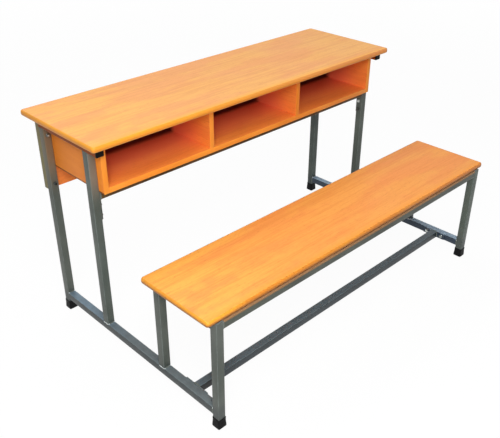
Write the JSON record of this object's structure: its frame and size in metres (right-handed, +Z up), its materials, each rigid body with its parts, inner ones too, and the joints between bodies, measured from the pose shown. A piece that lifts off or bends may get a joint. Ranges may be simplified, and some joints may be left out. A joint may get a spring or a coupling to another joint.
{
  "type": "school desk with bench",
  "caption": "School desk joined to a bench: welded square-tube end frames carry an edged desktop over open pigeonholes and a long seat board.",
  "frame": {"origin": "middle of the footprint on the floor, under the centre of the part's box", "axes": "+X along the length of the desk, -Y towards the bench side where the pupils enter, +Z up"},
  "size_m": [1.406, 0.8994, 0.75],
  "materials": {
    "steel": "dark grey powder coat, fine texture, satin",
    "board": "light beech laminate, straight grain along the length, satin",
    "moulding": "yellow ochre moulded edging, semi matt",
    "panel": "orange beech laminate, straight grain, matt",
    "tape": "ochre edge tape, semi matt",
    "plastic": "black moulded plastic, fine grain",
    "zinc": "bright zinc plate"
  },
  "bodies": {
    "root": {"left_runner": "steel", "right_runner": "steel", "left_bench_front_leg": "steel", "right_bench_front_leg": "steel", "left_bench_rear_leg": "steel", "right_bench_rear_leg": "steel", "left_desk_front_leg": "steel", "right_desk_front_leg": "steel", "left_desk_rear_leg": "steel", "right_desk_rear_leg": "steel", "left_desk_bearer": "steel", "right_desk_bearer": "steel", "left_seat_bearer": "steel", "right_seat_bearer": "steel", "seat_front_rail": "steel", "seat_rear_rail": "steel", "floor_stretcher": "steel", "left_stretcher_plate": "steel", "right_stretcher_plate": "steel", "shelf_rail": "steel", "left_shelf_rail_plate": "steel", "right_shelf_rail_plate": "steel", "left_stretcher_bolt_front": "zinc", "right_stretcher_bolt_front": "zinc", "left_stretcher_bolt_rear": "zinc", "right_stretcher_bolt_rear": "zinc", "left_shelf_rail_bolt_upper": "zinc", "right_shelf_rail_bolt_upper": "zinc", "left_shelf_rail_bolt_lower": "zinc", "right_shelf_rail_bolt_lower": "zinc", "left_panel_bolt_upper": "zinc", "right_panel_bolt_upper": "zinc", "left_panel_bolt_lower": "zinc", "right_panel_bolt_lower": "zinc", "left_panel_nut_upper": "zinc", "right_panel_nut_upper": "zinc", "left_panel_nut_lower": "zinc", "right_panel_nut_lower": "zinc", "desktop": "board", "desktop_moulding": "moulding", "seat": "board", "seat_moulding": "moulding", "shelf": "panel", "shelf_tape": "tape", "left_end_panel": "panel", "left_end_panel_tape": "tape", "right_end_panel": "panel", "right_end_panel_tape": "tape", "divider_1": "panel", "divider_1_tape": "tape", "divider_2": "panel", "divider_2_tape": "tape", "back_panel": "panel", "left_front_shoe": "plastic", "right_front_shoe": "plastic", "left_rear_shoe": "plastic", "right_rear_shoe": "plastic", "left_bearer_cap": "plastic", "right_bearer_cap": "plastic"}
  },
  "joints": []
}
